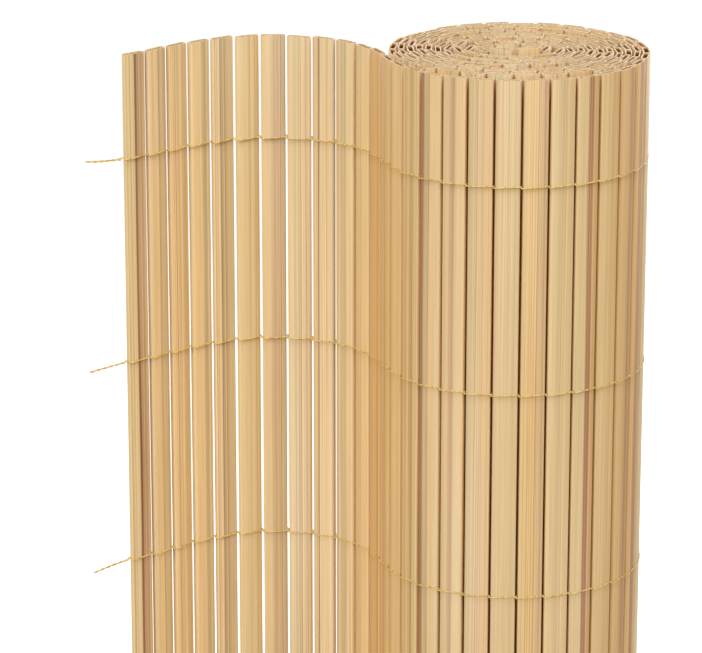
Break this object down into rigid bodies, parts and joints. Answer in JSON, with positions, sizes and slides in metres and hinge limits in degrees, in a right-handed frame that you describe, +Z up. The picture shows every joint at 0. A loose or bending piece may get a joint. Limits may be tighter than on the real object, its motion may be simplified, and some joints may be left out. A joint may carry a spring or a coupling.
{
  "type": "artificial bamboo screening roll",
  "caption": "Roll of artificial bamboo screening standing on end: hollow flat plastic slats laced edge to edge in rows, wound round an oval core, with a short stretch unrolled",
  "frame": {"origin": "middle of the footprint's box, on the floor under the slats", "axes": "+Z up along the slats; the roll is at +X and the loose edge points to -X; -Y is the side seen in the picture"},
  "size_m": [0.2946, 0.1376, 1],
  "materials": {
    "slat_plastic": "extruded PVC printed with a bamboo grain, satin",
    "lacing": "golden nylon strands, two twisted together"
  },
  "bodies": {
    "root": {"rolled_turn_01": "slat_plastic", "rolled_turn_02": "slat_plastic", "rolled_turn_03": "slat_plastic", "rolled_turn_04": "slat_plastic", "rolled_turn_05": "slat_plastic", "rolled_turn_06": "slat_plastic", "rolled_turn_07": "slat_plastic", "rolled_turn_08": "slat_plastic", "rolled_turn_09": "slat_plastic", "rolled_turn_10": "slat_plastic", "rolled_turn_11": "slat_plastic", "loose_slat_01": "slat_plastic", "loose_slat_02": "slat_plastic", "loose_slat_03": "slat_plastic", "loose_slat_04": "slat_plastic", "loose_slat_05": "slat_plastic", "loose_slat_06": "slat_plastic", "loose_slat_07": "slat_plastic", "loose_slat_08": "slat_plastic", "loose_slat_09": "slat_plastic", "loose_slat_10": "slat_plastic", "loose_slat_11": "slat_plastic", "loose_slat_12": "slat_plastic", "loose_slat_13": "slat_plastic", "loose_slat_14": "slat_plastic", "lacing_row_1": "lacing", "lacing_row_2": "lacing", "lacing_row_3": "lacing", "lacing_row_4": "lacing", "lacing_row_5": "lacing", "lacing_row_6": "lacing", "lacing_row_7": "lacing", "lacing_row_8": "lacing", "lacing_row_9": "lacing"}
  },
  "joints": []
}
